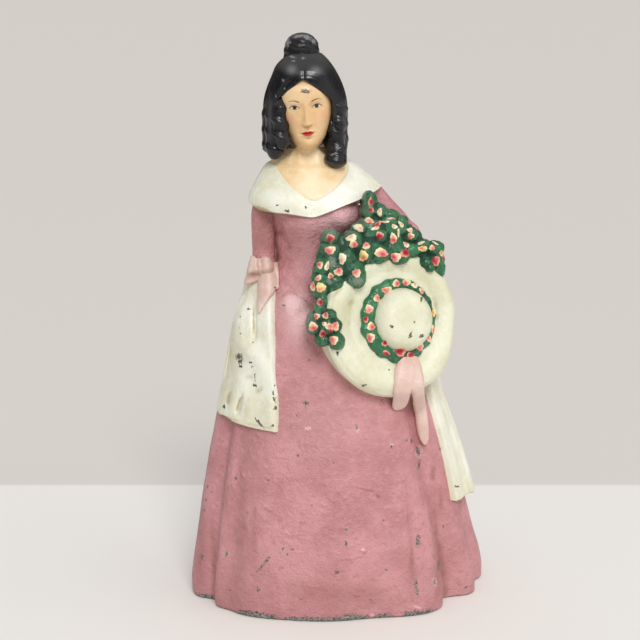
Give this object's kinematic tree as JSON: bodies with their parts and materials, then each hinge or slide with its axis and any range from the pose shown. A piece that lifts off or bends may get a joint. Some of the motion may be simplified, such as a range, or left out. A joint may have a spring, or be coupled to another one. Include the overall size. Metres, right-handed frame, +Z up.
{
  "type": "figural doorstop",
  "caption": "Hollow cast iron figural doorstop: a standing lady in a full-skirted dress, with a hat and flowers on one arm, split front to back and screwed together.",
  "frame": {"origin": "on the floor under the middle of the figure's bounding box", "axes": "+Z up, +X to the viewer's right, which is the figure's left; the front faces -Y"},
  "size_m": [0.1526, 0.0953, 0.2857],
  "materials": {
    "pink_enamel": "old pink brush enamel over sand-cast iron, satin, chipped to grey iron at the hem",
    "cream_enamel": "old cream brush enamel over sand-cast iron, satin, grimy in the hollows",
    "pale_pink_enamel": "old pale pink brush enamel, satin",
    "black_enamel": "glossy black enamel, rubbed grey on the raised curls",
    "flesh_enamel": "satin flesh-coloured enamel with hand-painted features",
    "green_enamel": "glossy dark green enamel with dabs of pink, cream and red",
    "bare_iron": "bare grey sand-cast iron, dull",
    "screw_steel": "dulled steel, slotted round heads"
  },
  "bodies": {
    "root": {"front_casting": "pink_enamel", "rear_casting": "pink_enamel", "chest_screw": "screw_steel", "skirt_screw": "screw_steel"}
  },
  "joints": []
}
